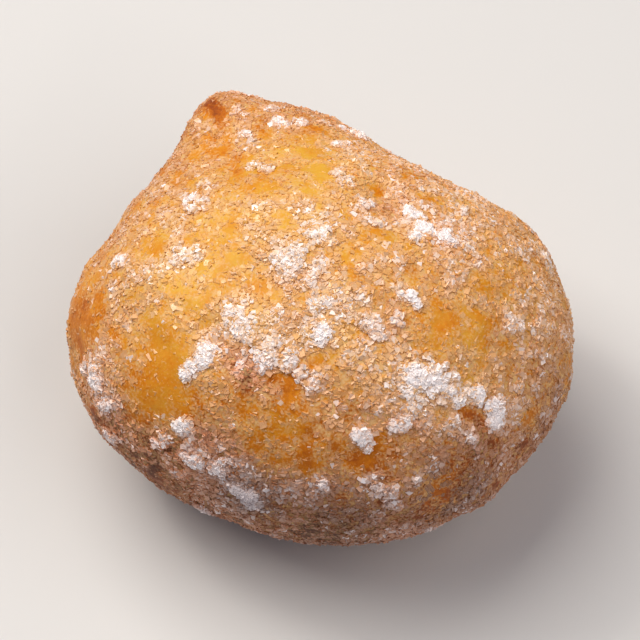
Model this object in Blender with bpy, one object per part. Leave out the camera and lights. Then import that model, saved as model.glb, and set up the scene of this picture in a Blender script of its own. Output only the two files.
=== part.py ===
"""Sugar doughnut: a ball of yeast dough, pinched off by hand, fried and rolled in sugar.

Run it with blender --background --python part.py, or from Blender's text editor. Units are metres, +Z up.
The origin is on the table, under the middle of the doughnut. +X is its longest way across, and the tip
where the dough was pinched off points to +Y.
"""

import math
import random

import bmesh
import bpy
import numpy as np
from mathutils import Matrix, Vector

MM = 0.001

# The ball that the dough would be without its bumps: half its width, depth and height, and its centre.
BALL_HALF = np.array((28.4, 25.0, 21.4)) * MM
BALL_CENTRE = np.array((-0.56, -1.99, 19.2)) * MM
CELLS_ACROSS = 22  # cells along each side of the cube that is blown up into the ball

# Swellings and hollows of the dough: azimuth and elevation of the middle, in degrees seen from the
# ball's centre, then height in millimetres (negative for a hollow), and spread in degrees.
SWELLINGS = {
    "pinched corner": (115, 18, 3.0, 11),
    "pinched tip": (108, 10, 5.4, 21),
    "shoulder of the tip": (84, 14, 1.6, 16),
    "right cheek": (350, 4, 2.8, 34),
    "back of the right cheek": (20, 8, 0.8, 16),
    "left cheek": (190, 5, 1.6, 32),
    "front belly": (302, 0, 1.8, 30),
    "saddle right of the tip": (60, 14, -1.8, 18),
    "slope left of the tip": (140, 16, 0.6, 14),
    "flat on the lower left": (225, -5, -0.6, 20),
}

# Shallow folds where the dough closed on itself: both ends as (azimuth, elevation), then depth in
# millimetres and half width in degrees.
FOLDS = {
    "fold on the left": ((205, 46), (262, 44), 0.60, 4.5),
    "fold below the tip": ((116, 24), (140, 56), 0.50, 4.5),
    "fold on the right": ((70, 33), (10, 66), 0.45, 6.0),
    "fold at the back": ((100, -12), (40, -20), 0.60, 5.0),
}
FOLD_STEPS = 24  # points along a fold from which its depth is measured

# The crust is never quite even: waves of random direction, as (height, wavelength) in millimetres.
WAVES = ((0.55, 16.0), (0.36, 11.0), (0.24, 8.0))
DIRECTIONS_PER_WAVE = 5
WAVE_SEED = 13

# Crusts of clotted sugar that stand out as white spots: both ends as (azimuth, elevation), then
# breadth in millimetres.
SUGAR_CRUSTS = {
    "top right, upper end": ((26, 57), (16, 56), 2.2),
    "top right": ((15, 55), (9, 53), 3.4),
    "left of the top right": ((8, 59), (6, 59), 1.4),
    "right of the top right": ((8, 47), (7, 46), 1.8),
    "thin one on the right": ((333, 63), (329, 55), 1.0),
    "lower right": ((309, 40), (315, 34), 3.2),
    "arm of the lower right": ((315, 32), (318, 29), 1.3),
    "left of the lower right": ((300, 38), (300, 30), 2.8),
    "below the lower right": ((312, 25), (313, 24), 1.9),
    "lowest on the lower right": ((313, 20), (313, 19), 1.5),
    "far right": ((320, 27), (322, 20), 2.6),
    "patch on the right": ((303, 61), (312, 55), 2.8),
    "right cheek": ((347, 30), (346, 25), 2.2),
    "streak in front": ((285, 31), (286, 27), 1.5),
    "dot on top": ((272, 61), (273, 60), 2.0),
    "crown": ((100, 86), (200, 84), 2.0),
    "crown, in front": ((264, 79), (277, 72), 2.6),
    "left of the crown": ((208, 79), (230, 77), 2.2),
    "right of the crown": ((50, 69), (33, 69), 2.0),
    "above the fold": ((221, 56), (243, 54), 2.8),
    "along the fold": ((248, 53), (260, 51), 2.3),
    "end of the fold": ((262, 50), (268, 47), 2.0),
    "left, middle": ((225, 45), (221, 39), 2.1),
    "left, low": ((228, 24), (231, 26), 1.9),
    "lower left": ((224, 15), (227, 18), 1.9),
    "right of the lower left": ((233, 20), (234, 20), 1.8),
    "left edge": ((202, 15), (207, 12), 2.4),
    "left flank": ((177, 47), (181, 54), 2.0),
    "upper left": ((147, 42), (150, 49), 2.2),
    "on the tip, left": ((114, 35), (113, 37), 2.0),
    "on the tip": ((99, 32), (95, 33), 1.9),
    "below the tip": ((119, 49), (118, 51), 1.7),
    "end of the tip": ((103, 26), (101, 25), 1.6),
    "shoulder of the tip": ((80, 29), (75, 27), 1.8),
    "above the saddle": ((73, 60), (72, 62), 1.9),
    "in the shade on the left": ((238, 17), (254, 11), 3.4),
    "lowest on the left": ((248, 10), (256, 8), 1.6),
    "in the shade in front": ((272, 19), (273, 18), 1.8),
    "in the shade on the right": ((284, 16), (291, 11), 2.2),
    "in the shade, far right": ((297, 14), (298, 14), 1.7),
}
# Smaller ones elsewhere, on a spiral that spreads them evenly; each is then moved a little.
SCATTERED_CRUSTS = 62
SCATTERED_BREADTHS = (1.4, 2.4)
SCATTERED_SHIFT = 8.0
LOWEST_CRUST = 5.0 * MM  # crusts lower than this would reach the table
GOLDEN_ANGLE = math.degrees(math.pi * (3 - math.sqrt(5)))

# The scattered ones keep off these places: azimuth, elevation and radius in degrees. The named ones are
# all that the upper front has, and next to the tip the crust is nearly bare.
UNSCATTERED = {
    "upper front": (270, 58, 66),
    "corner of the tip": (118, 26, 7),
    "below the corner": (127, 46, 7),
}

# A crust is a row of lumps of crystals, each about as wide as the crust and half sunk in the dough.
LUMP_SPACING = 0.62  # of the crust's breadth
LUMP_DRIFT = 0.40  # of the crust's breadth, to either side of the row
LUMP_WIDTHS = (0.7, 1.05)  # of the crust's breadth
LUMP_THICKNESSES = (1.0 * MM, 1.5 * MM)
LUMP_SINK = 0.12 * MM
LUMP_UNEVENNESS = 0.24
FINE_LUMP_WIDTH = 2.5 * MM  # lumps wider than this get more faces
SUGAR_SEED = 5  # of where the lumps lie
LUMP_SEED = 8  # of their shapes
NEAR = 0.02  # how far aside, in radians, the crust's slope is measured

CRUST_COLOUR = (0.63, 0.26, 0.045, 1.0)
CRUST_ROUGHNESS = 0.55
SHARP_EDGE = 35  # degrees


def way(azimuth, elevation):
    """The unit vector at these angles, in degrees: azimuth 0 is +X and 90 is +Y."""
    turn, rise = math.radians(azimuth), math.radians(elevation)
    return np.array(
        (math.cos(turn) * math.cos(rise), math.sin(turn) * math.cos(rise), math.sin(rise))
    )


def degrees_from(ways, middle):
    """The angle between each unit vector in ways and middle."""
    return np.degrees(np.arccos(np.clip(ways @ middle, -1.0, 1.0)))


def ball_reach(ways):
    """From the ball's centre to its surface: an ellipsoid's radius along each way."""
    return 1.0 / np.sqrt(((ways / BALL_HALF) ** 2).sum(axis=1))


def swelling(ways):
    """What the swellings and hollows add, each a bell curve of the angle from its middle."""
    added = np.zeros(len(ways))
    for azimuth, elevation, height, spread in SWELLINGS.values():
        angle = degrees_from(ways, way(azimuth, elevation))
        added += height * MM * np.exp(-((angle / spread) ** 2))
    return added


def folding(ways):
    """What the folds take away: grooves along arcs, deepest halfway and gone at both ends."""
    taken = np.zeros(len(ways))
    for start, end, depth, half_width in FOLDS.values():
        deepest = np.zeros(len(ways))
        for share in np.linspace(0.0, 1.0, FOLD_STEPS):
            middle = way(*start) * (1 - share) + way(*end) * share
            angle = degrees_from(ways, middle / np.linalg.norm(middle))
            here = math.sin(math.pi * share) * np.exp(-((angle / half_width) ** 2))
            deepest = np.maximum(deepest, here)
        taken += depth * MM * deepest
    return taken


def unevenness(points):
    """The crust's waves: for each height and wavelength, sines along a few random directions."""
    draw = random.Random(WAVE_SEED)
    added = np.zeros(len(points))
    for height, wavelength in WAVES:
        for _ in range(DIRECTIONS_PER_WAVE):
            along = way(draw.uniform(0, 360), math.degrees(math.asin(draw.uniform(-1, 1))))
            turns = points @ along / (wavelength * MM) + draw.random()
            added += height * MM / DIRECTIONS_PER_WAVE * np.sin(2 * math.pi * turns)
    return added


def crust_points(ways):
    """The crust's surface along each way, before the foot is cut flat."""
    reach = ball_reach(ways) + swelling(ways) - folding(ways)
    reach += unevenness(ways * reach[:, None])
    return BALL_CENTRE + ways * reach[:, None]


def clear_scene():
    for thing in list(bpy.data.objects):
        bpy.data.objects.remove(thing)


def add_object(name, shape, collection):
    """Turns a bmesh into an object of that name."""
    mesh = bpy.data.meshes.new(name)
    shape.to_mesh(mesh)
    shape.free()
    thing = bpy.data.objects.new(name, mesh)
    collection.objects.link(thing)
    return thing


def make_dough():
    """A cube cut into cells, blown up into a ball and then moved out to the crust."""
    shape = bmesh.new()
    bmesh.ops.create_cube(shape, size=2.0)
    bmesh.ops.subdivide_edges(
        shape, edges=shape.edges, cuts=CELLS_ACROSS - 1, use_grid_fill=True
    )
    corners = np.array([vertex.co for vertex in shape.verts])
    even = np.tan(corners * math.pi / 4)  # cells of one size after the blow-up
    ways = even / np.linalg.norm(even, axis=1, keepdims=True)
    for vertex, point in zip(shape.verts, crust_points(ways)):
        vertex.co = Vector(point)
    return shape


def cut_foot(shape):
    """Cuts off what is below the table and closes the cut, which leaves a small flat spot to rest on."""
    everything = shape.verts[:] + shape.edges[:] + shape.faces[:]
    cut = bmesh.ops.bisect_plane(
        shape, geom=everything, plane_co=(0, 0, 0), plane_no=(0, 0, -1), clear_outer=True
    )
    rim = [part for part in cut["geom_cut"] if isinstance(part, bmesh.types.BMEdge)]
    for edge in rim:
        for vertex in edge.verts:
            vertex.co.z = 0.0
    bmesh.ops.edgeloop_fill(shape, edges=rim)
    bmesh.ops.triangulate(shape, faces=shape.faces)


def is_unscattered(middle):
    return any(
        degrees_from(middle, way(azimuth, elevation)) < radius
        for azimuth, elevation, radius in UNSCATTERED.values()
    )


def crust_places(draw):
    """(one end, other end, breadth) of every sugar crust: the named ones, then the scattered ones."""
    places = [
        (way(*start), way(*end), breadth * MM) for start, end, breadth in SUGAR_CRUSTS.values()
    ]
    for number in range(SCATTERED_CRUSTS):
        rise = math.degrees(math.asin(1 - 2 * (number + 0.5) / SCATTERED_CRUSTS))
        azimuth = number * GOLDEN_ANGLE + draw.uniform(-1, 1) * SCATTERED_SHIFT
        middle = way(azimuth, rise + draw.uniform(-1, 1) * SCATTERED_SHIFT)
        breadth = draw.uniform(*SCATTERED_BREADTHS) * MM
        if not is_unscattered(middle):
            places.append((middle, middle, breadth))
    return places


def tangents(middle):
    """The two ways along the crust at a unit vector: level to the right, and upwards."""
    aside = np.cross((0.0, 0.0, 1.0), middle)
    aside /= np.linalg.norm(aside)
    return aside, np.cross(middle, aside)


def normalised(vector):
    return vector / np.linalg.norm(vector)


def outward(middle):
    """The crust's normal along a unit vector, from four points around it."""
    aside, above = tangents(middle)
    around = [middle + aside * NEAR, middle - aside * NEAR, middle + above * NEAR, middle - above * NEAR]
    right, left, top, bottom = crust_points(np.array([normalised(each) for each in around]))
    return normalised(np.cross(right - left, top - bottom))


def lumps_in_a_row(start, end, breadth, draw):
    """(way, width, thickness) of the lumps of one crust: a row along it, each drifted a little aside."""
    reach = float(ball_reach(start[None])[0])
    length = np.linalg.norm(end - start) * reach
    number = 1 + round(length / (breadth * LUMP_SPACING))
    drift = breadth * LUMP_DRIFT / reach if number > 1 else 0.0
    lumps = []
    for share in np.linspace(0.0, 1.0, number):
        middle = normalised(start * (1 - share) + end * share)
        aside, above = tangents(middle)
        moved = middle + (aside * draw.uniform(-1, 1) + above * draw.uniform(-1, 1)) * drift
        width = breadth * draw.uniform(*LUMP_WIDTHS)
        lumps.append((normalised(moved), width, draw.uniform(*LUMP_THICKNESSES)))
    return lumps


def lay_lumps():
    """Every lump of every crust that lies clear of the table."""
    draw = random.Random(SUGAR_SEED)
    lumps = []
    for start, end, breadth in crust_places(draw):
        lumps += lumps_in_a_row(start, end, breadth, draw)
    return [lump for lump in lumps if crust_points(lump[0][None])[0][2] > LOWEST_CRUST]


def make_lump(middle, width, thickness, draw):
    """A flattened, uneven ball of crystals on the crust along a unit vector."""
    shape = bmesh.new()
    fineness = 2 if width > FINE_LUMP_WIDTH else 1
    bmesh.ops.create_icosphere(shape, subdivisions=fineness, radius=width / 2)
    for vertex in shape.verts:
        vertex.co *= 1 + LUMP_UNEVENNESS * draw.uniform(-1, 1)
    normal = outward(middle)
    spin = Matrix.Rotation(draw.uniform(0, 2 * math.pi), 4, "Z")
    flatten = Matrix.Diagonal((1, 1, thickness / width, 1))
    lean = Vector(normal).to_track_quat("Z", "Y").to_matrix().to_4x4()
    place = Matrix.Translation(Vector(crust_points(middle[None])[0] - normal * LUMP_SINK))
    bmesh.ops.transform(shape, matrix=place @ lean @ flatten @ spin, verts=shape.verts)
    return shape


def add_sugar(collection):
    """Makes every lump an object of its own in the collection."""
    draw = random.Random(LUMP_SEED)
    for middle, width, thickness in lay_lumps():
        add_object("sugar_lump", make_lump(middle, width, thickness, draw), collection)


def keep_the_outside(mesh):
    """Drops every piece of the mesh but the largest: pockets sealed between lumps, and loose scraps."""
    shape = bmesh.new()
    shape.from_mesh(mesh)
    unseen = set(shape.verts)
    pieces = []
    while unseen:
        piece = set()
        front = {unseen.pop()}
        while front:
            piece |= front
            beside = {edge.other_vert(vertex) for vertex in front for edge in vertex.link_edges}
            front = beside - piece
        unseen -= piece
        pieces.append(piece)
    pieces.sort(key=len)
    scraps = [vertex for piece in pieces[:-1] for vertex in piece]
    bmesh.ops.delete(shape, geom=scraps, context="VERTS")
    shape.to_mesh(mesh)
    shape.free()
    print(len(pieces) - 1, "sealed pockets and scraps removed;", len(mesh.polygons), "faces left")


def fuse(target, collection):
    """Joins the collection's objects to the target as one solid, then removes them."""
    union = target.modifiers.new("fuse", "BOOLEAN")
    union.operation = "UNION"
    union.operand_type = "COLLECTION"
    union.collection = collection
    union.solver = "MANIFOLD"
    graph = bpy.context.evaluated_depsgraph_get()
    joined = bpy.data.meshes.new_from_object(target.evaluated_get(graph))
    target.modifiers.clear()
    target.data = joined
    keep_the_outside(joined)
    print(len(collection.objects), "lumps of sugar")
    for lump in list(collection.objects):
        bpy.data.objects.remove(lump)
    bpy.data.collections.remove(collection)


def sugared_crust():
    material = bpy.data.materials.new("sugared_crust")
    material.use_nodes = True
    finish = material.node_tree.nodes["Principled BSDF"]
    finish.inputs["Base Color"].default_value = CRUST_COLOUR
    finish.inputs["Roughness"].default_value = CRUST_ROUGHNESS
    finish.inputs["Metallic"].default_value = 0.0
    return material


def main():
    clear_scene()
    scene = bpy.context.scene.collection
    sugar = bpy.data.collections.new("sugar")
    scene.children.link(sugar)
    add_sugar(sugar)
    dough = make_dough()
    cut_foot(dough)
    doughnut = add_object("doughnut", dough, scene)
    fuse(doughnut, sugar)
    doughnut.data.materials.clear()
    doughnut.data.materials.append(sugared_crust())
    doughnut.data.shade_smooth()
    doughnut.data.set_sharp_from_angle(angle=math.radians(SHARP_EDGE))


main()
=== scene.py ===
# %% [markdown]
# # A sugar doughnut, crystal by crystal
#
# This is a ball-shaped doughnut: a lump of yeast dough, pinched off by hand, fried until golden and rolled
# in granulated sugar while it is hot. It is about 61 mm wide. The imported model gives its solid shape, and
# this script gives it its looks: an uneven fried crust, some tens of thousands of real sugar crystals, and
# soft light from behind on the left.
#
# The script is meant to be read from top to bottom. Each step first says what the real thing is.

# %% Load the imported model
import math
import random
from itertools import product

import bpy
import numpy as np
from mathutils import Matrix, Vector


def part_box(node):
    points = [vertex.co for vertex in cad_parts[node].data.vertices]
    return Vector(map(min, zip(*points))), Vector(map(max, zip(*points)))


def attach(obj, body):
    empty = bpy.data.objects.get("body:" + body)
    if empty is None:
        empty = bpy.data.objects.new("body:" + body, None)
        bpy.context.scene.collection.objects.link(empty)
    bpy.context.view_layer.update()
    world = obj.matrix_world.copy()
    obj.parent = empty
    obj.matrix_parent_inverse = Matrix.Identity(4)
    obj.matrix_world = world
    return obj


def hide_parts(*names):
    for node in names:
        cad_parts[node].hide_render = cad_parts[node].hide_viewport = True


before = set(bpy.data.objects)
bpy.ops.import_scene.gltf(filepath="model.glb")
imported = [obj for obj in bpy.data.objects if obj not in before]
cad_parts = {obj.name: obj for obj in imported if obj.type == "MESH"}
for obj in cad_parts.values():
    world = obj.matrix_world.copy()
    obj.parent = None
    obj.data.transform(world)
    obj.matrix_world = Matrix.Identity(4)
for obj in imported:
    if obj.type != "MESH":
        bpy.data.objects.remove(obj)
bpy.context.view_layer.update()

node_low, node_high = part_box("doughnut")
MM = 0.001
print("packed doughnut, mm:", [round(side / MM, 1) for side in node_high - node_low])

# %% [markdown]
# ## Directions from the middle of the ball
#
# On a ball, a place is easiest to name by the direction in which it lies from the centre, as an azimuth and
# an elevation. Pixels or x, y, z could be used too, but they would have to be worked out anew whenever the
# shape changes, while a direction stays true.

# %% Directions


def way(azimuth, elevation):
    """The unit vector at these angles, in degrees: azimuth 0 is +X, 90 is +Y, and elevation 90 is up."""
    turn, rise = math.radians(azimuth), math.radians(elevation)
    return np.array(
        (math.cos(turn) * math.cos(rise), math.sin(turn) * math.cos(rise), math.sin(rise))
    )


def normalised(vectors):
    """Each vector divided by its length."""
    return vectors / np.linalg.norm(vectors, axis=-1, keepdims=True)


def degrees_from(ways, middle):
    """The angle between each unit vector and middle: the arc cosine of their dot product."""
    return np.degrees(np.arccos(np.clip(ways @ middle, -1.0, 1.0)))


print("straight up:", way(0, 90).round(3))

# %% [markdown]
# ## The dough
#
# The real dough was pulled off a larger piece, which leaves a pinched tip, and it swelled unevenly in the
# hot fat. It could be sculpted by hand, but then nobody could say afterwards why it looks as it does. Here
# it is a formula: an ellipsoid's radius, plus a bell curve for each swelling, minus a groove for each fold,
# plus a few long waves. These are the values that the solid model was built from, so the two agree.

# %% The dough's formula
BALL_HALF = np.array((28.4, 25.0, 21.4)) * MM
BALL_CENTRE = np.array((-0.56, -1.99, 19.2)) * MM

# azimuth, elevation, height in millimetres, spread in degrees
SWELLINGS = {
    "pinched corner": (115, 18, 3.0, 11),
    "pinched tip": (108, 10, 5.4, 21),
    "shoulder of the tip": (84, 14, 1.6, 16),
    "right cheek": (350, 4, 2.8, 34),
    "back of the right cheek": (20, 8, 0.8, 16),
    "left cheek": (190, 5, 1.6, 32),
    "front belly": (302, 0, 1.8, 30),
    "saddle right of the tip": (60, 14, -1.8, 18),
    "slope left of the tip": (140, 16, 0.6, 14),
    "flat on the lower left": (225, -5, -0.6, 20),
}

# both ends as (azimuth, elevation), depth in millimetres, half width in degrees
FOLDS = {
    "fold on the left": ((205, 46), (262, 44), 0.60, 4.5),
    "fold below the tip": ((116, 24), (140, 56), 0.50, 4.5),
    "fold on the right": ((70, 33), (10, 66), 0.45, 6.0),
    "fold at the back": ((100, -12), (40, -20), 0.60, 5.0),
}
FOLD_STEPS = 24

# height and wavelength in millimetres
WAVES = ((0.55, 16.0), (0.36, 11.0), (0.24, 8.0))
DIRECTIONS_PER_WAVE = 5
WAVE_SEED = 13


def ball_reach(ways):
    """An ellipsoid's radius: one over the length of the unit vector measured in half axes."""
    return 1.0 / np.sqrt(((ways / BALL_HALF) ** 2).sum(axis=-1))


def swelling(ways):
    """The sum of the bell curves: height times exp(-(angle / spread) squared)."""
    added = np.zeros(len(ways))
    for azimuth, elevation, height, spread in SWELLINGS.values():
        added += height * MM * np.exp(-((degrees_from(ways, way(azimuth, elevation)) / spread) ** 2))
    return added


def along(ways, start, end, half_width):
    """How near each way lies to the line between two others, from 0 to 1: a bell curve of the angle from
    the nearest of some points along it, times a half sine that fades it out at both ends."""
    nearness = np.zeros(len(ways))
    for share in np.linspace(0.0, 1.0, FOLD_STEPS):
        middle = normalised(way(*start) * (1 - share) + way(*end) * share)
        bell = np.exp(-((degrees_from(ways, middle) / half_width) ** 2))
        nearness = np.maximum(nearness, math.sin(math.pi * share) * bell)
    return nearness


def unevenness(points):
    """Plane waves: for each wavelength, the sine of the distance along a few random directions."""
    draw = random.Random(WAVE_SEED)
    added = np.zeros(len(points))
    for height, wavelength in WAVES:
        for _ in range(DIRECTIONS_PER_WAVE):
            heading = way(draw.uniform(0, 360), math.degrees(math.asin(draw.uniform(-1, 1))))
            turns = points @ heading / (wavelength * MM) + draw.random()
            added += height * MM / DIRECTIONS_PER_WAVE * np.sin(2 * math.pi * turns)
    return added


def dough_points(ways):
    """The dough's surface: the centre plus each way times its reach."""
    reach = ball_reach(ways) + swelling(ways)
    for start, end, depth, half_width in FOLDS.values():
        reach -= depth * MM * along(ways, start, end, half_width)
    reach += unevenness(ways * reach[:, None])
    return BALL_CENTRE + ways * reach[:, None]


print("reach along +X, mm:", round(float(ball_reach(way(0, 0)[None])[0] / MM), 2))

# %% [markdown]
# ## A ball with even cells
#
# A sphere made of rings has tiny cells at its poles, and one pole would face the camera here. A cube that
# is blown up into a ball has six square grids instead, with cells of almost one size and no poles. Its
# corners are numbered on a lattice of whole numbers, so the grids' shared edges merge exactly.

# %% The grid
CELLS = 128  # along each side of the cube, which gives just under 200,000 triangles


def cube_grid(cells):
    """Unit vectors and four-cornered faces of a blown-up cube. On each side of the cube two parameters run
    from -1 to 1, and the tangent of a quarter turn times each spaces the cells evenly on the ball."""
    steps = np.arange(cells + 1)
    u, v = np.meshgrid(steps, steps, indexing="ij")
    number = np.arange((cells + 1) ** 2).reshape(cells + 1, cells + 1)
    square = (number[:-1, :-1], number[1:, :-1], number[1:, 1:], number[:-1, 1:])
    square = np.stack(square, axis=-1).reshape(-1, 4)
    corners, faces = [], []
    for axis, side in product(range(3), (0, cells)):
        sheet = np.empty((cells + 1, cells + 1, 3), int)
        sheet[..., axis] = side
        sheet[..., (axis + 1) % 3] = u
        sheet[..., (axis + 2) % 3] = v if side else cells - v
        faces.append(square + len(corners) * number.size)
        corners.append(sheet.reshape(-1, 3))
    lattice, place = np.unique(np.concatenate(corners), axis=0, return_inverse=True)
    cube = np.tan((2 * lattice / cells - 1) * math.pi / 4)
    return normalised(cube), place.reshape(-1)[np.concatenate(faces)]


ways, crust_faces = cube_grid(CELLS)
dough = dough_points(ways)
print("crust grid:", len(ways), "points,", len(crust_faces), "faces")

# %% [markdown]
# ## Smooth noise
#
# Crust and sugar are uneven at every size, from the colour of a whole cheek down to single blisters.
# Blender has noise in its shaders, but the shape, the colours and the sugar should follow the same patches,
# so this noise is worked out here, once for each size.

# %% Noise on a lattice
LATTICE = 64  # values along each side before the pattern repeats, which is further than the doughnut's size


def mottle(points, size, seed):
    """Noise from -1 to 1: random values on a cubic lattice with this spacing, blended between the eight
    corners of a cell by 3 f squared minus 2 f cubed, where f is how far across the cell a point lies."""
    values = np.random.default_rng(seed).uniform(-1.0, 1.0, (LATTICE,) * 3)
    cell = np.floor(points / size).astype(int)
    across = points / size - cell
    across = across * across * (3 - 2 * across)
    blended = np.zeros(len(points))
    for corner in product((0, 1), repeat=3):
        share = np.prod(np.where(corner, across, 1 - across), axis=1)
        i, j, k = ((cell + corner) % LATTICE).T
        blended += share * values[i, j, k]
    return blended


def smooth_step(values, low, high):
    """0 below low, 1 above high, and an S-curve between them."""
    share = np.clip((values - low) / (high - low), 0.0, 1.0)
    return share * share * (3 - 2 * share)


print("noise over the crust, mean:", round(float(mottle(dough, 3 * MM, 1).mean()), 3))

# %% [markdown]
# ## Where the sugar lies
#
# Hot, oily dough picks up sugar unevenly. There is a thin coat of single crystals nearly all over, there
# are places where it hardly took, and there are clots, where damp crystals stuck together in white crusts.
# The clots are part of the solid model as low lumps, and the same lumps are laid here: the named ones from
# the places where the real one has them, and small ones all round on an even spiral.

# %% Clots of sugar
# both ends as (azimuth, elevation), breadth in millimetres, whiteness
SUGAR_CRUSTS = {
    "top right, upper end": ((26, 57), (16, 56), 2.2, 1.0),
    "top right": ((15, 55), (9, 53), 3.4, 1.0),
    "left of the top right": ((8, 59), (6, 59), 1.4, 0.85),
    "right of the top right": ((8, 47), (7, 46), 1.8, 0.5),
    "thin one on the right": ((333, 63), (329, 55), 1.0, 1.0),
    "lower right": ((309, 40), (315, 34), 3.2, 1.0),
    "arm of the lower right": ((315, 32), (318, 29), 1.3, 0.9),
    "left of the lower right": ((300, 38), (300, 30), 2.8, 0.6),
    "below the lower right": ((312, 25), (313, 24), 1.9, 0.9),
    "lowest on the lower right": ((313, 20), (313, 19), 1.5, 0.6),
    "far right": ((320, 27), (322, 20), 2.6, 1.0),
    "patch on the right": ((303, 61), (312, 55), 2.8, 0.42),
    "right cheek": ((347, 30), (346, 25), 2.2, 0.4),
    "streak in front": ((285, 31), (286, 27), 1.5, 1.0),
    "dot on top": ((272, 61), (273, 60), 2.0, 1.0),
    "crown": ((100, 86), (200, 84), 2.0, 0.50),
    "crown, in front": ((264, 79), (277, 72), 2.6, 0.48),
    "left of the crown": ((208, 79), (230, 77), 2.2, 0.54),
    "right of the crown": ((50, 69), (33, 69), 2.0, 0.4),
    "above the fold": ((221, 56), (243, 54), 2.8, 0.56),
    "along the fold": ((248, 53), (260, 51), 2.3, 0.55),
    "end of the fold": ((262, 50), (268, 47), 2.0, 0.35),
    "left, middle": ((225, 45), (221, 39), 2.1, 0.85),
    "left, low": ((228, 24), (231, 26), 1.9, 0.95),
    "lower left": ((224, 15), (227, 18), 1.9, 0.45),
    "right of the lower left": ((233, 20), (234, 20), 1.8, 0.40),
    "left edge": ((202, 15), (207, 12), 2.4, 0.8),
    "left flank": ((177, 47), (181, 54), 2.0, 0.35),
    "upper left": ((147, 42), (150, 49), 2.2, 0.75),
    "on the tip, left": ((114, 35), (113, 37), 2.0, 0.6),
    "on the tip": ((99, 32), (95, 33), 1.9, 0.65),
    "below the tip": ((119, 49), (118, 51), 1.7, 0.45),
    "end of the tip": ((103, 26), (101, 25), 1.6, 0.5),
    "shoulder of the tip": ((80, 29), (75, 27), 1.8, 0.7),
    "above the saddle": ((73, 60), (72, 62), 1.9, 0.4),
    "in the shade on the left": ((238, 17), (254, 11), 3.4, 0.85),
    "lowest on the left": ((248, 10), (256, 8), 1.6, 1.0),
    "in the shade in front": ((272, 19), (273, 18), 1.8, 0.6),
    "in the shade on the right": ((284, 16), (291, 11), 2.2, 0.45),
    "in the shade, far right": ((297, 14), (298, 14), 1.7, 0.45),
}
SCATTERED_CRUSTS = 62
SCATTERED_BREADTHS = (1.4, 2.4)
SCATTERED_SHIFT = 8.0
SCATTERED_WHITENESS = 0.58
LOWEST_CRUST = 5.0 * MM
GOLDEN_ANGLE = math.degrees(math.pi * (3 - math.sqrt(5)))

# places that the scattered ones keep off: azimuth, elevation, radius in degrees
UNSCATTERED = {
    "upper front": (270, 58, 66),
    "corner of the tip": (118, 26, 7),
    "below the corner": (127, 46, 7),
}

LUMP_SPACING = 0.62  # these three are shares of the breadth
LUMP_DRIFT = 0.40
LUMP_WIDTHS = (0.7, 1.05)
LUMP_THICKNESSES = (1.0 * MM, 1.5 * MM)
LUMP_SINK = 0.12 * MM
SUGAR_SEED = 5


def is_unscattered(middle):
    """Whether a scattered crust's middle lies in a place that they keep off."""
    return any(
        degrees_from(middle, way(azimuth, elevation)) < radius
        for azimuth, elevation, radius in UNSCATTERED.values()
    )


def crust_places(draw):
    """(one end, other end, breadth, whiteness) of each crust: the named ones, then the scattered ones."""
    places = [
        (way(*start), way(*end), breadth * MM, white)
        for start, end, breadth, white in SUGAR_CRUSTS.values()
    ]
    for number in range(SCATTERED_CRUSTS):
        rise = math.degrees(math.asin(1 - 2 * (number + 0.5) / SCATTERED_CRUSTS))
        azimuth = number * GOLDEN_ANGLE + draw.uniform(-1, 1) * SCATTERED_SHIFT
        middle = way(azimuth, rise + draw.uniform(-1, 1) * SCATTERED_SHIFT)
        breadth = draw.uniform(*SCATTERED_BREADTHS) * MM
        if not is_unscattered(middle):
            places.append((middle, middle, breadth, SCATTERED_WHITENESS))
    return places


def lumps_in_a_row(start, end, breadth, white, draw):
    """(way, width, thickness, whiteness) of one crust's lumps: a row along it, each drifted aside."""
    reach = float(ball_reach(start[None])[0])
    length = np.linalg.norm(end - start) * reach
    number = 1 + round(length / (breadth * LUMP_SPACING))
    drift = breadth * LUMP_DRIFT / reach if number > 1 else 0.0
    lumps = []
    for share in np.linspace(0.0, 1.0, number):
        middle = normalised(start * (1 - share) + end * share)
        aside = normalised(np.cross((0.0, 0.0, 1.0), middle))
        above = np.cross(middle, aside)
        moved = middle + (aside * draw.uniform(-1, 1) + above * draw.uniform(-1, 1)) * drift
        width = breadth * draw.uniform(*LUMP_WIDTHS)
        lumps.append((normalised(moved), width, draw.uniform(*LUMP_THICKNESSES), white))
    return lumps


def lay_lumps():
    """Every lump of every crust that lies clear of the table."""
    draw = random.Random(SUGAR_SEED)
    lumps = []
    for start, end, breadth, white in crust_places(draw):
        lumps += lumps_in_a_row(start, end, breadth, white, draw)
    return [lump for lump in lumps if dough_points(lump[0][None])[0][2] > LOWEST_CRUST]


lumps = lay_lumps()
print("lumps of clotted sugar:", len(lumps))

# %% [markdown]
# ## Clots with ragged edges
#
# A clot is a low heap with a broken outline: islands of white with gaps, where pieces of it fell off. Each
# lump becomes a bell curve of the distance from it, noise of a few crystals' size is added, and what lies
# above a threshold is clot. So its edge follows the noise, and no clot stays round. The threshold is soft,
# and around each clot the sugar thins out.

# %% The heaps' height
# size, shift and a seed for each coordinate
CLOT_BENDS = ((2.2 * MM, 0.55 * MM, (35, 36, 37)), (1.1 * MM, 0.30 * MM, (38, 39, 40)))
CLOT_NOISE = ((1.2 * MM, 0.40, 31), (0.6 * MM, 0.50, 34))  # size, strength and seed
ROUGH_BELL = 0.1  # the noise adds to the bell curve only where that is above this
CLOT_FROM, CLOT_TO = 0.24, 0.75  # between these the sum of bell curve and noise turns into clot
MOUND_SHARE = 0.22  # of a lump's height; the crystals on it make up the rest
HALO = 1.9  # how far the thinning sugar reaches, in half widths of the lump


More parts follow.
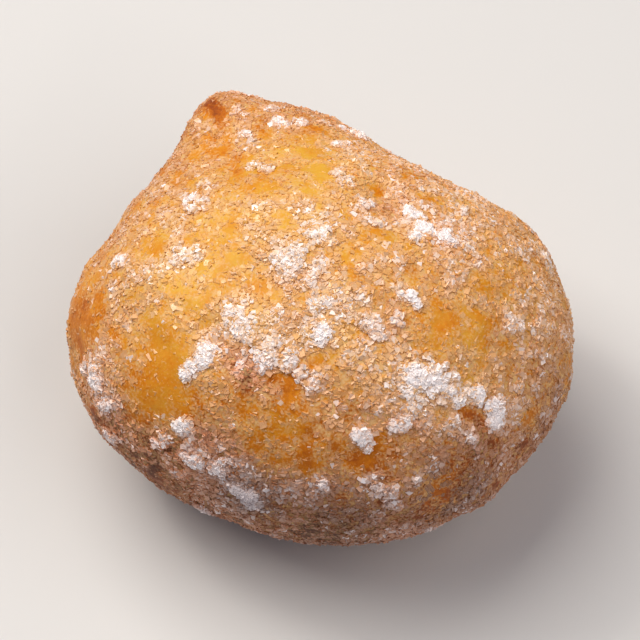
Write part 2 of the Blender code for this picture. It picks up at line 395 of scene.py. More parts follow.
def bent(points):
    """The points, each coordinate shifted by noise, so that a round shape measured there is bent."""
    for size, shift, seeds in CLOT_BENDS:
        points = points + shift * np.stack([mottle(points, size, seed) for seed in seeds], axis=1)
    return points


def clot_mounds(points):
    """Height of the heaps, how surely a point lies in one, and how near it is to one. Around each lump, a
    bell curve of the distance in half widths, plus noise where the curve is above a tenth, is turned into
    a share by an S-curve. The share times the lump's rise is the height, and times its whiteness it is how
    thickly the clot is packed."""
    rough = sum(strength * mottle(points, size, seed) for size, strength, seed in CLOT_NOISE)
    points = bent(points)
    height, share, halo = np.zeros((3, len(points)))
    middles = dough_points(np.array([lump[0] for lump in lumps]))
    for middle, (_, width, thickness, whiteness) in zip(middles, lumps):
        distance = np.linalg.norm(points - middle, axis=1) / (width / 2)
        bell = np.exp(-(distance**2))
        island = smooth_step(bell + rough * (bell > ROUGH_BELL), CLOT_FROM, CLOT_TO)
        height = np.maximum(height, MOUND_SHARE * (thickness / 2 - LUMP_SINK) * island)
        share = np.maximum(share, whiteness * island)
        halo = np.maximum(halo, whiteness * np.exp(-((distance / HALO) ** 2)))
    return height, share, halo


clot_height, clot_share, clot_halo = clot_mounds(dough)
print("share of the crust under clots:", round(float(clot_share.mean()), 3))

# %% [markdown]
# ## The thin coat
#
# Between the clots the sugar is one crystal deep or less. How thick it lies is one number for each point
# of the crust, from 0, bare and oily, to 1, white. Each area that looks alike gets a name and an amount,
# and a point's amount is the average of those around it, so the areas melt into each other. Noise of four
# sizes then breaks them up, down to small groups of crystals.

# %% How thickly the sugar lies
# azimuth, elevation, radius in degrees, amount
COATED = {
    "left flank": (164, 41, 16, 0.50),
    "upper left": (150, 58, 12, 0.32),
    "golden top": (92, 62, 13, 0.27),
    "under the tip": (100, 38, 10, 0.36),
    "tip": (100, 24, 12, 0.52),
    "crown": (96, 80, 6, 0.60),
    "crown, in front": (268, 80, 7, 0.74),
    "crown, lower": (276, 68, 7, 0.72),
    "side of the crown": (215, 78, 6, 0.60),
    "right of the crown": (20, 78, 12, 0.46),
    "right, high": (3, 60, 18, 0.52),
    "right, behind": (45, 50, 20, 0.52),
    "right cheek": (5, 30, 20, 0.60),
    "far right": (341, 20, 16, 0.60),
    "right, bare": (327, 45, 9, 0.06),
    "far right, bare": (336, 35, 8, 0.08),
    "left of the crown": (175, 72, 10, 0.44),
    "golden left": (200, 58, 11, 0.42),
    "middle, bare": (219, 68, 6, 0.10),
    "above the fold": (233, 54, 9, 0.80),
    "left, bare": (215, 30, 10, 0.07),
    "left edge": (203, 16, 5, 0.78),
    "above the left edge": (205, 26, 6, 0.50),
    "left edge, bare": (182, 17, 8, 0.02),
    "left edge, bare, behind": (168, 9, 7, 0.05),
    "front, bare": (262, 40, 11, 0.24),
    "front, bare, lower": (275, 36, 8, 0.22),
    "front, above": (281, 55, 12, 0.66),
    "lower right": (308, 32, 12, 0.62),
    "lower left": (229, 15, 9, 0.46),
    "lower left, rim": (212, -3, 11, 0.32),
    "bottom left": (252, 11, 9, 0.66),
    "bottom middle": (277, 9, 9, 0.62),
    "bottom right": (305, 7, 12, 0.50),
    "front, low": (283, 23, 7, 0.26),
    "under the front": (281, -8, 14, 0.52),
    "back": (60, 0, 35, 0.46),
    "back, left": (140, 0, 35, 0.40),
    "back, right": (0, -10, 30, 0.48),
    "underneath": (0, -90, 40, 0.22),
}
EVEN_COAT = 0.40  # what the average leans to, far from all of these
EVEN_WEIGHT = 0.04
# size, strength and seed
COAT_PATCHES = ((7.0 * MM, 0.10, 41), (3.2 * MM, 0.17, 42), (1.7 * MM, 0.31, 43), (0.9 * MM, 0.28, 44))
HALO_COAT = 0.22  # what a clot adds to the coat around it
THIN_COAT, FULL_COAT = 0.1, 0.6  # between these the noise grows to its full strength
LEAST_COAT = 0.03


def averaged(ways, areas, even):
    """For each way, the average of the areas' amounts. An area's weight is a bell curve of the angle from
    its middle, and the even amount has a small weight everywhere."""
    total = np.full(len(ways), EVEN_WEIGHT)
    amounts = even * total
    for azimuth, elevation, radius, amount in areas.values():
        weight = np.exp(-((degrees_from(ways, way(azimuth, elevation)) / radius) ** 2))
        total += weight
        amounts += amount * weight
    return amounts / total


def sugar_coat(ways, points):
    """The areas' average, plus the clots' surroundings, plus noise. The noise is weaker on a thin coat: it
    goes with the root of the coat."""
    coat = averaged(ways, COATED, EVEN_COAT) + HALO_COAT * clot_halo
    rough = sum(strength * mottle(points, size, seed) for size, strength, seed in COAT_PATCHES)
    swing = np.sqrt(np.clip(coat, THIN_COAT, FULL_COAT) / FULL_COAT)
    return np.clip(coat + rough * swing, LEAST_COAT, 1.0)


coat = sugar_coat(ways, dough)
print("mean coat:", round(float(coat.mean()), 3))

# %% [markdown]
# ## How brown the crust is, with painted shade low down
#
# Frying browns what sticks out and what lay longest in the fat. The thin edge of the pinched tip went
# red-brown, the folds are darker along their bottom, and the puffed-up top stayed golden yellow. The lower
# front and the underside are the darkest: there painted shade is added to the crust's own browning. The
# same way of averaging named areas serves here.

# %% Browning
# azimuth, elevation, radius in degrees, amount
# the bottom, lower left and under areas are painted shade on the lower front and underneath, on top of the
# crust's own browning
FRIED_AND_SHADED = {
    "golden top": (92, 60, 20, 0.05),
    "upper left": (150, 55, 18, 0.18),
    "golden left": (200, 56, 14, 0.10),
    "crown": (258, 84, 12, 0.22),
    "left flank": (164, 30, 14, 0.34),
    "left, low": (215, 30, 10, 0.38),
    "left edge": (190, 8, 12, 0.50),
    "right, high": (3, 60, 20, 0.42),
    "right": (328, 44, 14, 0.20),
    "right cheek": (350, 22, 20, 0.34),
    "front": (264, 40, 12, 0.48),
    "front, above": (285, 55, 12, 0.28),
    "front, low": (285, 24, 13, 0.60),
    "bottom, in front": (278, 8, 14, 1.00),
    "bottom, right": (305, 5, 14, 0.90),
    "tip": (98, 26, 12, 0.62),
    "bottom, left": (246, 6, 13, 0.98),
    "lower left": (212, -4, 12, 1.06),
    "under the front": (281, -14, 18, 1.12),
    "under the left": (225, -12, 18, 1.10),
    "under the right": (335, -16, 22, 0.90),
    "back": (60, 5, 30, 0.45),
    "back, left": (140, 0, 28, 0.50),
    "under the back": (90, -30, 35, 0.85),
    "underneath": (0, -90, 50, 1.00),
}
EVEN_BROWN = 0.40
BROWN_PATCHES = ((9.0 * MM, 0.10, 51), (3.5 * MM, 0.15, 52), (1.4 * MM, 0.16, 53))
FOLD_BROWNING = 0.15
DARKEST = 1.2
LEAST_SCORCHED_COAT = 0.02

# spots that scorched: both ends as (azimuth, elevation), half width in degrees, amount, share of the sugar
# that is missing there
SCORCHED = {
    "corner of the tip": ((115, 17), (118, 30), 2.0, 0.20, 0.97),
    "below the corner": ((122, 38), (130, 54), 1.9, 0.30, 0.70),
    "end of the fold": ((231, 47), (247, 43), 4.4, 0.45, 0.35),
    "between the clots on the right": ((313, 29), (319, 21), 2.0, 0.36, 0.80),
    "low on the right": ((324, 8), (328, 4), 2.0, 0.30, 0.90),
    "below the top right": ((338, 66), (350, 58), 2.2, 0.25, 0.40),
}


def scorch(ways):
    """Two sums over the spots' lines: of each times its amount, and of each times its share of sugar."""
    lines = np.array([along(ways, start, end, half) for start, end, half, *_ in SCORCHED.values()])
    amounts, missing = np.array([spot[3:] for spot in SCORCHED.values()]).T
    return amounts @ lines, missing @ lines


def browning_and_shade(ways, points):
    """From 0, golden, over 1, brown, to 1.2, the darkest: the areas' average, plus the folds and the
    scorched spots, plus noise. The areas low in front and underneath add painted shade."""
    folds = sum(along(ways, start, end, half) for start, end, _, half in FOLDS.values())
    brown = averaged(ways, FRIED_AND_SHADED, EVEN_BROWN) + FOLD_BROWNING * folds + scorched
    for size, strength, seed in BROWN_PATCHES:
        brown += strength * mottle(points, size, seed)
    return np.clip(brown, 0.0, DARKEST)


scorched, missing = scorch(ways)
brown = browning_and_shade(ways, dough)
coat = np.clip(coat * (1 - missing), LEAST_SCORCHED_COAT, 1.0)
print("mean browning:", round(float(brown.mean()), 3))

# %% [markdown]
# ## Painted shade on the sugar low down
#
# The sugar on the lower front and underneath is painted greyer and darker than the sugar above: this is
# painted shade, where little light reaches. Each shaded area is a bell curve around its middle, and a point
# takes the largest.

# %% Painted shade on the sugar
# azimuth, elevation, radius in degrees, amount
# painted shade on the sugar, strongest low in front
PAINTED_SHADE_AREAS = {
    "bottom left": (254, 9, 14, 0.90),
    "bottom": (277, 6, 16, 0.84),
    "bottom right": (304, 5, 17, 0.85),
    "right": (335, 0, 18, 0.50),
    "under the front": (275, -14, 20, 0.65),
    "underneath": (0, -90, 70, 0.70),
}


def painted_shade(ways):
    """The largest of the areas' bell curves: amount times exp(-(angle / radius) squared)."""
    return np.max(
        [
            amount * np.exp(-((degrees_from(ways, way(azimuth, elevation)) / radius) ** 2))
            for azimuth, elevation, radius, amount in PAINTED_SHADE_AREAS.values()
        ],
        axis=0,
    )


shade_paint = painted_shade(ways)
# how much of the crust lies under more than half of the painted shade
print("share of the crust that is more than half damp:", round(float((shade_paint > 0.5).mean()), 3))

# %% [markdown]
# ## The crust's own surface
#
# Close up, a fried crust has shallow blisters and wrinkles a millimetre or two across. They could be drawn
# as bump in the material only, but sugar rests on them and they show at the outline, so they are real here.
# The foot, where the soft ball lies on the table, is rounded into the flat by a smooth maximum.

# %% Blisters, clots and foot
BLISTERS = ((3.2 * MM, 0.16 * MM, 61), (1.5 * MM, 0.08 * MM, 62), (0.8 * MM, 0.045 * MM, 63))
FOOT_ROUNDING = 0.3 * MM


def finish_crust(ways, points, heaps):
    """Moves the dough's points outwards by blisters and heaps, then bends what is below the table up to
    it: half of z plus the root of z squared and the rounding squared."""
    outwards = heaps.copy()
    for size, height, seed in BLISTERS:
        outwards += height * mottle(points, size, seed)
    moved = points + ways * outwards[:, None]
    z = moved[:, 2]
    moved[:, 2] = (z + np.sqrt(z * z + FOOT_ROUNDING**2)) / 2
    moved[:, 2] -= moved[:, 2].min()
    return moved


crust = finish_crust(ways, dough, clot_height)
print("dressed crust, mm:", ((crust.max(axis=0) - crust.min(axis=0)) / MM).round(1))

# %% [markdown]
# ## From arrays to a mesh
#
# All pieces are arrays of points and of faces with three or four corners. One function hands them to
# Blender in bulk, which takes a moment even for a hundred thousand faces, where adding them one by one
# would take minutes. Numbers such as the coat's thickness go along as attributes, which materials can read.

# %% Building a piece


def make_piece(name, points, faces, attributes, smooth):
    """A mesh object from an array of points and one of faces, with a row of corners for each face."""
    corners = faces.shape[1]
    mesh = bpy.data.meshes.new(name)
    mesh.vertices.add(len(points))
    mesh.vertices.foreach_set("co", points.astype(np.float32).ravel())
    mesh.loops.add(faces.size)
    mesh.loops.foreach_set("vertex_index", faces.astype(np.int32).ravel())
    mesh.polygons.add(len(faces))
    mesh.polygons.foreach_set("loop_start", np.arange(0, faces.size, corners, dtype=np.int32))
    mesh.update(calc_edges=True)
    for label, values in attributes.items():
        attribute = mesh.attributes.new(label, "FLOAT", "POINT")
        attribute.data.foreach_set("value", values.astype(np.float32))
    if smooth:
        mesh.shade_smooth()
    else:
        mesh.shade_flat()
    piece = bpy.data.objects.new(name, mesh)
    bpy.context.scene.collection.objects.link(piece)
    print(name + ":", (corners - 2) * len(faces), "triangles")
    return piece


crust_piece = make_piece(
    "doughnut_crust",
    crust,
    crust_faces,
    {"browning_and_shade": brown, "coat": coat, "clot": clot_share},
    smooth=True,
)

# %% [markdown]
# ## Scattering crystals on the crust
#
# A particle system would do this with a few clicks, but each crystal should be real mesh that can be kept
# and exported. So faces of the crust are drawn at random, larger and more sugary ones more often, and a
# point is picked on each. That spreads the crystals by area, whatever the size of the cells.

# %% Drawing places
NEVER_ZERO = 1e-20  # added to what is divided by, in case a face has no area


def face_sums():
    """Area, middle and normal of each of the crust's faces, from the cross product of its diagonals."""
    a, b, c, d = (crust[crust_faces[:, corner]] for corner in range(4))
    cross = np.cross(c - a, d - b)
    area = np.linalg.norm(cross, axis=1) / 2
    return area, (a + b + c + d) / 4, cross / (2 * area[:, None] + NEVER_ZERO)


face_area, face_middle, face_normal = face_sums()
CLEAR_OF_TABLE = 0.5 * MM  # crystals under the foot would be crushed


def draw_places(number, liking, rng):
    """Places and normals for crystals. Faces are drawn with a chance of area times liking, and a point on
    each is blended from its corners by two random shares."""
    chance = face_area * liking * (face_middle[:, 2] > CLEAR_OF_TABLE)
    summed = np.cumsum(chance)
    drawn = np.searchsorted(summed, rng.random(number) * summed[-1])
    a, b, c, d = (crust[crust_faces[drawn, corner]] for corner in range(4))
    s, t = rng.random((2, number, 1))
    places = a * (1 - s) * (1 - t) + b * s * (1 - t) + c * s * t + d * (1 - s) * t
    return places, face_normal[drawn], drawn


face_coat = coat[crust_faces].mean(axis=1)
face_clot = clot_share[crust_faces].mean(axis=1)
face_brown = brown[crust_faces].mean(axis=1)
face_shade_paint = shade_paint[crust_faces].mean(axis=1)
print("crust's area, square mm:", round(float(face_area.sum() / MM**2)))

# %% [markdown]
# ## A crystal of sugar
#
# Granulated sugar is sold in grains of 0.3 to 0.85 mm. Under a lens each is a short, slightly skewed block
# with flat, glassy faces, and between them lie smaller broken shards. A block of twelve triangles and a
# shard of four, with their corners nudged at random, are enough for that, since sugar's sparkle comes from
# flat faces at all angles. Each crystal is pressed into the crust by part of its height and leans a little
# from the surface's normal.

# %% Building crystals
BLOCK = np.array(list(product((-0.5, 0.5), repeat=3)))
BLOCK_FACES = np.array(
    ((0, 1, 3, 2), (4, 6, 7, 5), (0, 4, 5, 1), (2, 3, 7, 6), (0, 2, 6, 4), (1, 5, 7, 3))
)
SHARD = BLOCK[[0, 3, 5, 6]]
SHARD_FACES = np.array(((1, 2, 3), (0, 3, 2), (0, 1, 3), (0, 2, 1)))
CRYSTAL_SIDES = ((0.80, 1.15), (0.65, 0.95), (0.34, 0.56))  # ranges of its three sides, in grain sizes
CORNER_NUDGE = 0.13
COAT_LEAN, CLOT_LEAN = 0.27, 0.38  # how far a crystal leans from the surface's normal


def crystals(shape, shape_faces, places, normals, sizes, sink, lean, rng):
    """Points and faces of a crystal at each place: the shape is stretched and nudged, turned so that its
    third side leans about the normal, and set down with a share of its height sunk in."""
    number, corners = len(places), len(shape)
    low, high = np.array(CRYSTAL_SIDES).T
    sides = sizes[:, None] * rng.uniform(low, high, (number, 3))
    local = shape[None] + rng.uniform(-CORNER_NUDGE, CORNER_NUDGE, (number, corners, 3))
    local = local * sides[:, None]
    up = normalised(normals + lean * rng.normal(size=(number, 3)))
    first = normalised(np.cross(up, rng.normal(size=(number, 3))))
    second = np.cross(up, first)
    turned = (
        local[..., :1] * first[:, None]
        + local[..., 1:2] * second[:, None]
        + local[..., 2:] * up[:, None]
    )
    lift = sides[:, 2] * (0.5 - sink)
    points = turned + (places + normals * lift[:, None])[:, None]
    faces = shape_faces[None] + corners * np.arange(number)[:, None, None]
    return points.reshape(-1, 3), faces.reshape(-1, shape_faces.shape[1])


print("triangles on a block and on a shard:", 2 * len(BLOCK_FACES), len(SHARD_FACES))

# %% [markdown]
# ## The thin coat's crystals
#
# Three kinds make up the thin coat, told apart by size: broken shards, ordinary grains, and a few coarse
# ones. Each kind is one mesh. A crystal that lies alone lets the crust's gold shine through, and one that
# has neighbours looks white, so each crystal gets a whiteness from the coat around it, and keeps the
# crust's browning below it, painted shade included, and the painted shade on the sugar there.

# %% Thin coat
# name: shape, its faces, number, smallest and largest size in millimetres, power of the coat that it
# follows, sunk share, seed
GRAINS = {
    "sugar_shards": (SHARD, SHARD_FACES, 26000, 0.32, 0.54, 1.7, 0.36, 71),
    "sugar_grains": (BLOCK, BLOCK_FACES, 15500, 0.42, 0.68, 1.9, 0.54, 72),
    "sugar_coarse_grains": (BLOCK, BLOCK_FACES, 6500, 0.60, 0.84, 2.6, 0.60, 73),
}
DISSOLVED = 0.42  # the further share that is sunk in where the coat is thinnest
DISSOLVING_COAT = (0.15, 0.75)  # the coat at which all of that is sunk in, and at which none is
LONE_WHITENESS = 0.13
COAT_WHITENESS = 0.41
CLOT_WHITENESS = 0.50
WHITENING_COAT = (0.25, 1.0)  # between these the coat turns from lone crystals to a white layer
WHITENESS_SPREAD = 0.16  # on the thickest coat; lone crystals, all coloured by the crust, have half of it
# painted glints: a share of crystals gets extra whiteness that stands in for a highlight
PAINTED_GLINTS, PAINTED_GLINT_WHITENESS = 0.04, 0.4  # share of crystals that catch the light, and what that adds
TOP_WHITENESS, FOOT_WHITENESS = 0.11, -0.18  # what a crystal's upper and lower corners add to its own


def whiteness_of(drawn, rng):
    """How white each crystal looks: a little of its own, more from a thick coat or a clot, plus a random
    part; a few get a painted glint."""
    thick = smooth_step(face_coat[drawn], *WHITENING_COAT)
    white = LONE_WHITENESS + COAT_WHITENESS * thick + CLOT_WHITENESS * face_clot[drawn]
    white += rng.normal(0, WHITENESS_SPREAD, len(drawn)) * (1 + thick) / 2
    white[rng.random(len(drawn)) < PAINTED_GLINTS] += PAINTED_GLINT_WHITENESS
    return np.clip(white, 0.0, 1.0)


def corner_whiteness(white, shape, foot):
    """Each crystal's whiteness at its corners: more at the upper ones, and less at the lower ones, where
    the crust's colour shines through."""
    added = np.where(shape[:, 2] > 0, TOP_WHITENESS, foot)
    return np.clip(white[:, None] + added, 0.0, 1.0).ravel()


def crystal_looks(drawn, white, shape, foot):
    """What the sugar's material reads at each corner of the crystals on the drawn faces."""
    return {
        "whiteness": corner_whiteness(white, shape, foot),
        "browning_and_shade": np.repeat(face_brown[drawn], len(shape)),
        "painted_shade": np.repeat(face_shade_paint[drawn], len(shape)),
    }


def make_grains(name):
    """One kind of grain: places drawn by the coat to a power, and sizes evenly drawn. Where the coat is
    thin, the grains are sunk in deeper, because oil and damp crust have dissolved part of them."""
    shape, shape_faces, number, smallest, largest, power, sink, seed = GRAINS[name]
    rng = np.random.default_rng(seed)
    places, normals, drawn = draw_places(number, face_coat**power, rng)
    sizes = rng.uniform(smallest, largest, number) * MM
    sink = sink + DISSOLVED * (1 - smooth_step(face_coat[drawn], *DISSOLVING_COAT))
    points, faces = crystals(shape, shape_faces, places, normals, sizes, sink, COAT_LEAN, rng)
    looks = crystal_looks(drawn, whiteness_of(drawn, rng), shape, FOOT_WHITENESS)
    return make_piece(name, points, faces, looks, smooth=False)


grain_pieces = [make_grains(name) for name in GRAINS]

# %% [markdown]
# ## The clots' crystals
#
# In a clot, grains lie on grains. They are drawn only where the ragged mounds are, and each is lifted by a
# random share of a layer, which gives a heap with gaps and shadows instead of a smooth lump.

# %% Clots
CLOT_GRAINS = 11500
CLOT_SIZES = (0.38, 0.66)  # in millimetres
CLOT_LAYER = 0.22 * MM
CLOT_SINK = 0.3
CLOT_POWER = 1.2  # of the clots' share that the grains follow
THICK_COAT = 0.10  # how often such a grain lies on the thickest coat, compared with a clot's middle
THICK_FROM = 0.5  # the coat at which that begins
LOOSE_WHITENESS, PACKED_WHITENESS = 0.38, 0.66  # a grain's own, and what a clot's middle adds
CLOT_FOOT_WHITENESS = -0.15
CLOT_SEED = 74


def make_clot_grains():
    """Grains on the mounds, and a few on the thickest coat: their chance goes with the clots' share, and
    their lift with a random number."""
    rng = np.random.default_rng(CLOT_SEED)
    liking = face_clot**CLOT_POWER + THICK_COAT * smooth_step(face_coat, THICK_FROM, 1.0)
    places, normals, drawn = draw_places(CLOT_GRAINS, liking, rng)
    lift = CLOT_LAYER * rng.random(CLOT_GRAINS) * face_clot[drawn]
    places = places + normals * lift[:, None]
    sizes = rng.uniform(*CLOT_SIZES, CLOT_GRAINS) * MM
    points, faces = crystals(BLOCK, BLOCK_FACES, places, normals, sizes, CLOT_SINK, CLOT_LEAN, rng)
    white = LOOSE_WHITENESS + PACKED_WHITENESS * face_clot[drawn]
    white += WHITENESS_SPREAD * rng.normal(size=CLOT_GRAINS)
    looks = crystal_looks(drawn, white, BLOCK, CLOT_FOOT_WHITENESS)
    return make_piece("sugar_clots", points, faces, looks, smooth=False)


clot_piece = make_clot_grains()

# %% [markdown]
# ## Colours and nodes
#
# Colours are written as they look on a screen, as hex values, and turned into the linear values that
# Blender mixes with. One small function adds a node, sets its values and links its inputs.

# %% Colours and nodes


def colour(code):
    """Linear red, green, blue and alpha from an sRGB hex code: below 0.04045 a twelfth, and above that the
    value plus 0.055, over 1.055, to the power 2.4."""
    values = np.array([int(code[i : i + 2], 16) / 255 for i in (1, 3, 5)])
    linear = np.where(values <= 0.04045, values / 12.92, ((values + 0.055) / 1.055) ** 2.4)
    return (*linear, 1.0)


def add(tree, kind, inputs, **settings):
    """A new node with these settings; each input is linked to a socket or set to a value."""
    node = tree.nodes.new("ShaderNode" + kind)
    for name, value in settings.items():
        setattr(node, name, value)
    for name, value in inputs.items():
        if isinstance(value, bpy.types.NodeSocket):
            tree.links.new(value, node.inputs[name])
        else:
            node.inputs[name].default_value = value
    return node


FACTOR, FIRST, SECOND = 0, 6, 7  # a Mix node's sockets when it mixes colours
MIXED = 2


def new_material(name):
    """An empty material and its output node."""
    material = bpy.data.materials.new(name)
    material.use_nodes = True
    material.node_tree.nodes.clear()
    return material, add(material.node_tree, "OutputMaterial", {})


print("middle grey, linear:", round(float(colour("#808080")[0]), 3))

# %% [markdown]
# ## Deep-fried crust
#
# Fried yeast dough is golden where it puffed up and orange to red-brown where it browned more. Low in front
# and underneath the browning also carries painted shade, which darkens the crust there. It is slightly
# translucent and has a thin film of oil, so it has a soft sheen and no hard mirror. Between the crystals,
# sugar dust and dissolved sugar leave a pale frost, which shows less on brown crust, because more oil has
# soaked it there, and less under the painted shade. Colour comes from the browning and the painted shade,
# frost from the coat, and fine noise breaks both up at the size of a pore. Real pores and dust are finer
# than this, and are drawn as coarse as shows.

# %% Crust material
GOLDEN = colour("#E1AD40")
# what the crust turns to as it browns, the tone at which each starts, and at which it has come
AMBER = (colour("#D98816"), 0.25, 0.75)
RED_BROWN = (colour("#AD5712"), 0.70, 1.10)
# the darkest brown is reached mostly where painted shade is added low in front and underneath
DARK_BROWN = (colour("#5F3016"), 1.00, 1.40)
FROST = colour("#E6BD86")
CLOTTED = colour("#EEDDCF")  # the crust under a clot, seen between its crystals
PORE_SIZE = 0.45 * MM
PORE_DEPTH = 0.06 * MM
FROST_SIZE = 0.32 * MM
OILY_CRUST_IOR = 1.46


def fried_crust():
    """Golden crust that browns in three steps, then frost by the coat, then sugar's white under clots."""
    material, output = new_material("deep_fried_crust")
    tree = material.node_tree
    place = add(tree, "TexCoord", {}).outputs["Object"]
    # the browning attribute also carries painted shade low in front and underneath
    brown, coat, clot = (
        add(tree, "Attribute", {}, attribute_name=label).outputs["Fac"]
        for label in ("browning_and_shade", "coat", "clot")
    )
    pores = add(tree, "TexNoise", {"Vector": place, "Scale": 1 / PORE_SIZE, "Detail": 3.0}).outputs["Fac"]
    speck = add(tree, "TexNoise", {"Vector": place, "Scale": 1 / FROST_SIZE, "Detail": 1.0}).outputs["Fac"]
    tone = add(tree, "Math", {0: pores, 1: 0.5, 2: brown}, operation="MULTIPLY_ADD").outputs[0]
    shade = GOLDEN
    for browner, start, end in (AMBER, RED_BROWN, DARK_BROWN):
        share = add(tree, "MapRange", {"Value": tone, "From Min": start, "From Max": end}).outputs[0]
        mixed = add(tree, "Mix", {FACTOR: share, FIRST: shade, SECOND: browner}, data_type="RGBA")
        shade = mixed.outputs[MIXED]
    dust = add(tree, "Math", {0: speck, 1: coat}, operation="ADD").outputs[0]
    fading = {"Value": brown, "From Min": 0.6, "From Max": 1.1, "To Min": 0.96, "To Max": 0.5}
    most = add(tree, "MapRange", fading).outputs[0]
    settling = {"Value": dust, "From Min": 0.66, "From Max": 1.08, "To Max": most}
    frost = add(tree, "MapRange", settling).outputs[0]
    for share, whiter in ((frost, FROST), (clot, CLOTTED)):
        mixed = add(tree, "Mix", {FACTOR: share, FIRST: shade, SECOND: whiter}, data_type="RGBA")
        shade = mixed.outputs[MIXED]
    relief = add(tree, "Bump", {"Height": pores, "Distance": PORE_DEPTH, "Strength": 0.8})
    gloss = add(tree, "MapRange", {"Value": pores, "To Min": 0.38, "To Max": 0.62}).outputs[0]
    shader = add(
        tree,
        "BsdfPrincipled",
        {
            "Base Color": shade,
            "Roughness": gloss,
            "Normal": relief.outputs["Normal"],
            "IOR": OILY_CRUST_IOR,
            "Specular IOR Level": 0.3,
            "Subsurface Weight": 0.12,
            "Subsurface Radius": (1.0, 0.45, 0.15),
            "Subsurface Scale": 1.5 * MM,
        },
    )
    tree.links.new(shader.outputs[0], output.inputs["Surface"])
    return material


crust_piece.data.materials.append(fried_crust())
print("crust material made")

# %% [markdown]
# ## Granulated sugar
#
# Sugar crystals are clear. What the eye sees is light that went in, met the crust or another crystal and
# came back: gold or brown from a lone grain, by the crust under it, peach from a thin coat, and white from
# a heap. A thin coat is pinker on brown crust, and low in front and underneath the sugar is painted greyer
# and darker as painted shade. Real refraction would need hundreds of bounces for each grain, so the
# whiteness, browning and painted shade that were worked out above pick the colour, and the flat glassy
# faces, with sucrose's index of refraction, give the glitter. The faces carry fine steps from the crystal's
# growth and dull spots where grains rubbed.

# %% Sugar material
# on golden crust, on brown crust, and in the painted shade low in front and underneath
LONE = (colour("#F0B652"), colour("#B8713A"), colour("#98623B"))
THIN = (colour("#E6BC84"), colour("#E2AA89"), colour("#8E6E5E"))
HEAPED = (colour("#FDF6F5"), colour("#FDF6F5"), colour("#D6CACB"))
THIN_WHITENESS = 0.45  # where lone has turned to thin, and thin starts to turn to heaped
STEP_SIZE = 0.12 * MM
STEP_DEPTH = 0.02 * MM
SUCROSE_IOR = 1.54


def granulated_sugar():
    """Lone, thin and heaped sugar, each mixed by browning and by painted shade, and then mixed by whiteness.
    """
    material, output = new_material("granulated_sugar")
    tree = material.node_tree
    white, brown, shade_paint = (
        add(tree, "Attribute", {}, attribute_name=label).outputs["Fac"]
        for label in ("whiteness", "browning_and_shade", "painted_shade")
    )
    shades = []
    for on_gold, on_brown, in_painted_shade in (LONE, THIN, HEAPED):
        # each colour turns greyer and darker by the painted shade on the sugar low down
        unshaded = add(tree, "Mix", {FACTOR: brown, FIRST: on_gold, SECOND: on_brown}, data_type="RGBA")
        shaded = {FACTOR: shade_paint, FIRST: unshaded.outputs[MIXED], SECOND: in_painted_shade}
        shades.append(add(tree, "Mix", shaded, data_type="RGBA").outputs[MIXED])
    lone, thin, heaped = shades
    low = add(tree, "MapRange", {"Value": white, "From Max": THIN_WHITENESS}).outputs[0]
    high = add(tree, "MapRange", {"Value": white, "From Min": THIN_WHITENESS}).outputs[0]
    pale = add(tree, "Mix", {FACTOR: low, FIRST: lone, SECOND: thin}, data_type="RGBA").outputs[MIXED]
    whole = add(tree, "Mix", {FACTOR: high, FIRST: pale, SECOND: heaped}, data_type="RGBA")
    place = add(tree, "TexCoord", {}).outputs["Object"]
    steps = add(tree, "TexNoise", {"Vector": place, "Scale": 1 / STEP_SIZE, "Detail": 2.0}).outputs["Fac"]
    relief = add(tree, "Bump", {"Height": steps, "Distance": STEP_DEPTH, "Strength": 0.6})
    gloss = add(tree, "MapRange", {"Value": steps, "To Min": 0.17, "To Max": 0.37}).outputs[0]
    shader = add(
        tree,
        "BsdfPrincipled",
        {
            "Base Color": whole.outputs[MIXED],
            "Roughness": gloss,
            "Normal": relief.outputs["Normal"],
            "IOR": SUCROSE_IOR,
        },
    )
    tree.links.new(shader.outputs[0], output.inputs["Surface"])
    return material


sugar = granulated_sugar()
for piece in (*grain_pieces, clot_piece):
    piece.data.materials.append(sugar)
print("sugar material on", len(grain_pieces) + 1, "pieces")

# %% [markdown]
# ## Riding and replacing
#
# The crust and the clots together stand for the solid doughnut, which is then hidden but still collides.
# Everything moves with the one body there is.

# %% Tie the pieces to the model
for piece, slot in ((crust_piece, "fried_crust"), (clot_piece, "sugar")):
    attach(piece, "root")
    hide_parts("doughnut")
for piece in grain_pieces:
    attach(piece, "root")
print("pieces:", [piece.name for piece in (crust_piece, clot_piece, *grain_pieces)])

# %% [markdown]
# ## The table and the light
#
# The doughnut is seen from above at a steep angle, in soft light from behind on the left, so its front and
# its underside are in shade. One large lamp gives that light, a weaker one lifts the right side, and two
# small weak ones put glints on the crystals' faces. A dim pale sky fills the rest, and a plain pale table
# lies under it all.

# %% Floor, lamps and sky
FLOOR_SIDE = 4.0
# direction, distance, side, power in watts, colour
LAMPS = {
    "softbox_behind": (way(142, 60), 0.9, 0.8, 8.1, colour("#FFFAF2")),
    "small_lamp_behind": (way(148, 52), 1.0, 0.16, 1.4, colour("#FFFAF2")),
    "small_lamp_in_front": (way(300, 40), 1.0, 0.13, 0.40, colour("#FFF9F2")),
    "softbox_right": (way(338, 50), 0.9, 0.8, 3.4, colour("#FFF9F2")),
}
SKY_COLOUR = colour("#CAD4FF")
SKY_STRENGTH = 0.15
TABLETOP_COLOUR = colour("#DAD9D7")
TABLETOP_ROUGHNESS = 0.7
GAMMA = 0.88  # found by setting the render beside the photograph


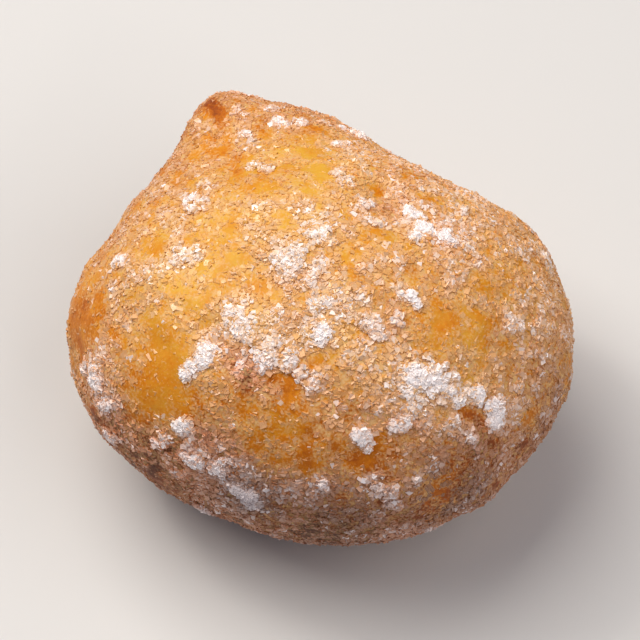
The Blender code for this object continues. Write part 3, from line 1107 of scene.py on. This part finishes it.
def make_floor():
    """A square sheet under the doughnut, in two by two cells."""
    steps = np.linspace(-FLOOR_SIDE / 2, FLOOR_SIDE / 2, 3)
    x, y = np.meshgrid(steps, steps, indexing="ij")
    points = np.stack((x, y, np.zeros_like(x)), axis=-1).reshape(-1, 3)
    faces = np.array(((0, 3, 4, 1), (1, 4, 5, 2), (3, 6, 7, 4), (4, 7, 8, 5)))
    floor = make_piece("floor", points, faces, {}, smooth=True)
    material, output = new_material("pale_tabletop")
    tree = material.node_tree
    looks = {"Base Color": TABLETOP_COLOUR, "Roughness": TABLETOP_ROUGHNESS}
    shader = add(tree, "BsdfPrincipled", looks)
    tree.links.new(shader.outputs[0], output.inputs["Surface"])
    floor.data.materials.append(material)
    return floor


def make_lamp(name, direction, distance, side, power, tint):
    """A square lamp that looks at the doughnut from a direction."""
    light = bpy.data.lights.new(name, "AREA")
    light.size = side
    light.energy = power
    light.color = tint[:3]
    lamp = bpy.data.objects.new(name, light)
    lamp.location = Vector(direction * distance)
    lamp.rotation_mode = "QUATERNION"
    lamp.rotation_quaternion = Vector(direction).to_track_quat("Z", "Y")
    bpy.context.scene.collection.objects.link(lamp)
    return lamp


def make_sky():
    """An even pale sky."""
    world = bpy.data.worlds.new("sky")
    world.use_nodes = True
    background = world.node_tree.nodes["Background"]
    background.inputs["Color"].default_value = SKY_COLOUR
    background.inputs["Strength"].default_value = SKY_STRENGTH
    bpy.context.scene.world = world


make_floor()
lamps = [make_lamp(name, *values) for name, values in LAMPS.items()]
make_sky()
bpy.context.scene.view_settings.view_transform = "Standard"
bpy.context.scene.view_settings.gamma = GAMMA
print("lamps:", [lamp.name for lamp in lamps])

# %% [markdown]
# ## The camera
#
# It looks down at about 60 degrees, from the front, through a long lens, so the far side hardly shrinks.

# %% Camera
VIEW_WAY = way(270, 60)
LENS = 150.0  # in millimetres, on a sensor 36 mm wide
SENSOR = 36.0
PICTURE_WIDTH = 78 * MM  # what the picture shows across at the doughnut
AIM = Vector((0.0, 0.0, 0.0195))  # near the doughnut's middle
NEAREST = 10 * MM


def make_camera():
    """A camera whose distance is the lens over the sensor times the width that it should show."""
    camera = bpy.data.objects.new("camera", bpy.data.cameras.new("camera"))
    camera.data.lens = LENS
    camera.data.sensor_width = SENSOR
    camera.data.clip_start = NEAREST
    camera.location = AIM + Vector(VIEW_WAY) * (LENS / SENSOR * PICTURE_WIDTH)
    camera.rotation_mode = "QUATERNION"
    camera.rotation_quaternion = Vector(VIEW_WAY).to_track_quat("Z", "Y")
    bpy.context.scene.collection.objects.link(camera)
    bpy.context.scene.camera = camera
    return camera


print("camera's distance, mm:", round((make_camera().location - AIM).length / MM))
